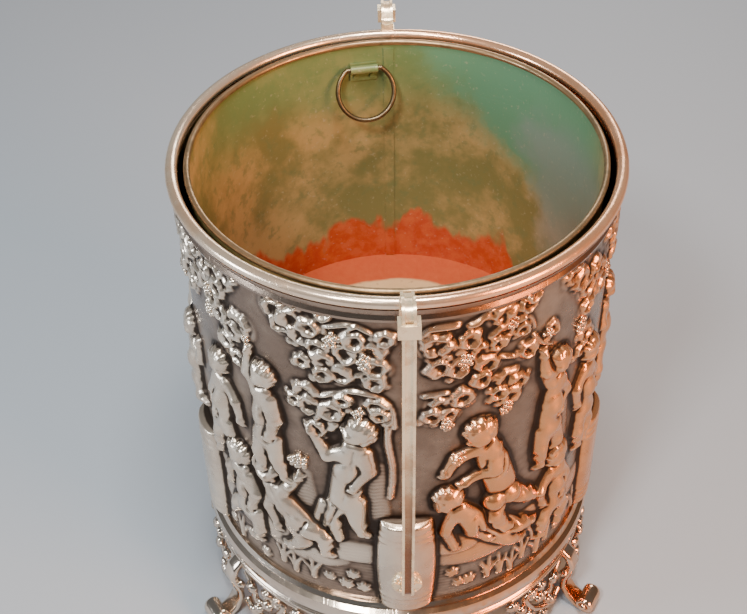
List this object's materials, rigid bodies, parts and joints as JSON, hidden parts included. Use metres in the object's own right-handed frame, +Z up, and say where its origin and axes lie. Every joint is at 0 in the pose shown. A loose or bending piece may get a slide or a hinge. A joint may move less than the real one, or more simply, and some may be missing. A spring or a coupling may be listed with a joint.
{
  "type": "champagne bucket stand",
  "caption": "Round drum-shaped wine cooler on four scroll feet, with a reeded base, two upright strap handles and a loose lift-out liner with drop rings.",
  "frame": {"origin": "on the table under the centre of the drum", "axes": "+Z up, the front handle toward -Y, the back handle toward +Y"},
  "size_m": [0.224, 0.245, 0.2803],
  "materials": {
    "silver_plate": "polished silver plate with dark patina in the recesses",
    "silver_strap": "bright polished silver plate",
    "liner_copper": "aged copper, green and brown patina",
    "liner_floor_copper": "pale worn copper",
    "ring_brass": "dark aged brass wire",
    "fixings": "plain brass"
  },
  "bodies": {
    "stand": {"drum_shell": "silver_plate", "rim_wire": "silver_plate", "neck_band": "silver_plate", "base_moulding": "silver_plate", "base_wire": "silver_plate", "base_plate": "silver_plate", "seat_ring": "silver_plate", "foot_front_left": "silver_plate", "foot_front_right": "silver_plate", "foot_back_left": "silver_plate", "foot_back_right": "silver_plate", "foot_screws": "fixings", "foot_nuts": "fixings", "rivet_burrs": "fixings", "handle_strap_front": "silver_strap", "handle_clip_front": "silver_strap", "handle_collar_front": "silver_strap", "handle_boss_front": "silver_strap", "handle_rivets_front": "silver_strap", "handle_strap_back": "silver_strap", "handle_clip_back": "silver_strap", "handle_collar_back": "silver_strap", "handle_boss_back": "silver_strap", "handle_rivets_back": "silver_strap"},
    "liner": {"liner_wall": "liner_copper", "liner_rim_bead": "liner_copper", "liner_floor": "liner_floor_copper", "liner_seam": "liner_copper", "lug_rivets": "liner_copper", "ring_lug_front": "ring_brass", "ring_lug_back": "ring_brass"},
    "ring_front": {"drop_ring_front": "ring_brass"},
    "ring_back": {"drop_ring_back": "ring_brass"}
  },
  "joints": [
    {"name": "liner_lift", "type": "slide", "parent": "stand", "child": "liner", "axis": [0, 0, 1], "range_m": [0, 0.16]},
    {"name": "ring_front_swing", "type": "hinge", "parent": "liner", "child": "ring_front", "pos_m": [0.01268, -0.0902, 0.2555], "axis": [0.9903, 0.1392, 0], "range_deg": [-24, 145]},
    {"name": "ring_back_swing", "type": "hinge", "parent": "liner", "child": "ring_back", "pos_m": [-0.01268, 0.0902, 0.2555], "axis": [-0.9903, -0.1392, 0], "range_deg": [-24, 145]}
  ]
}
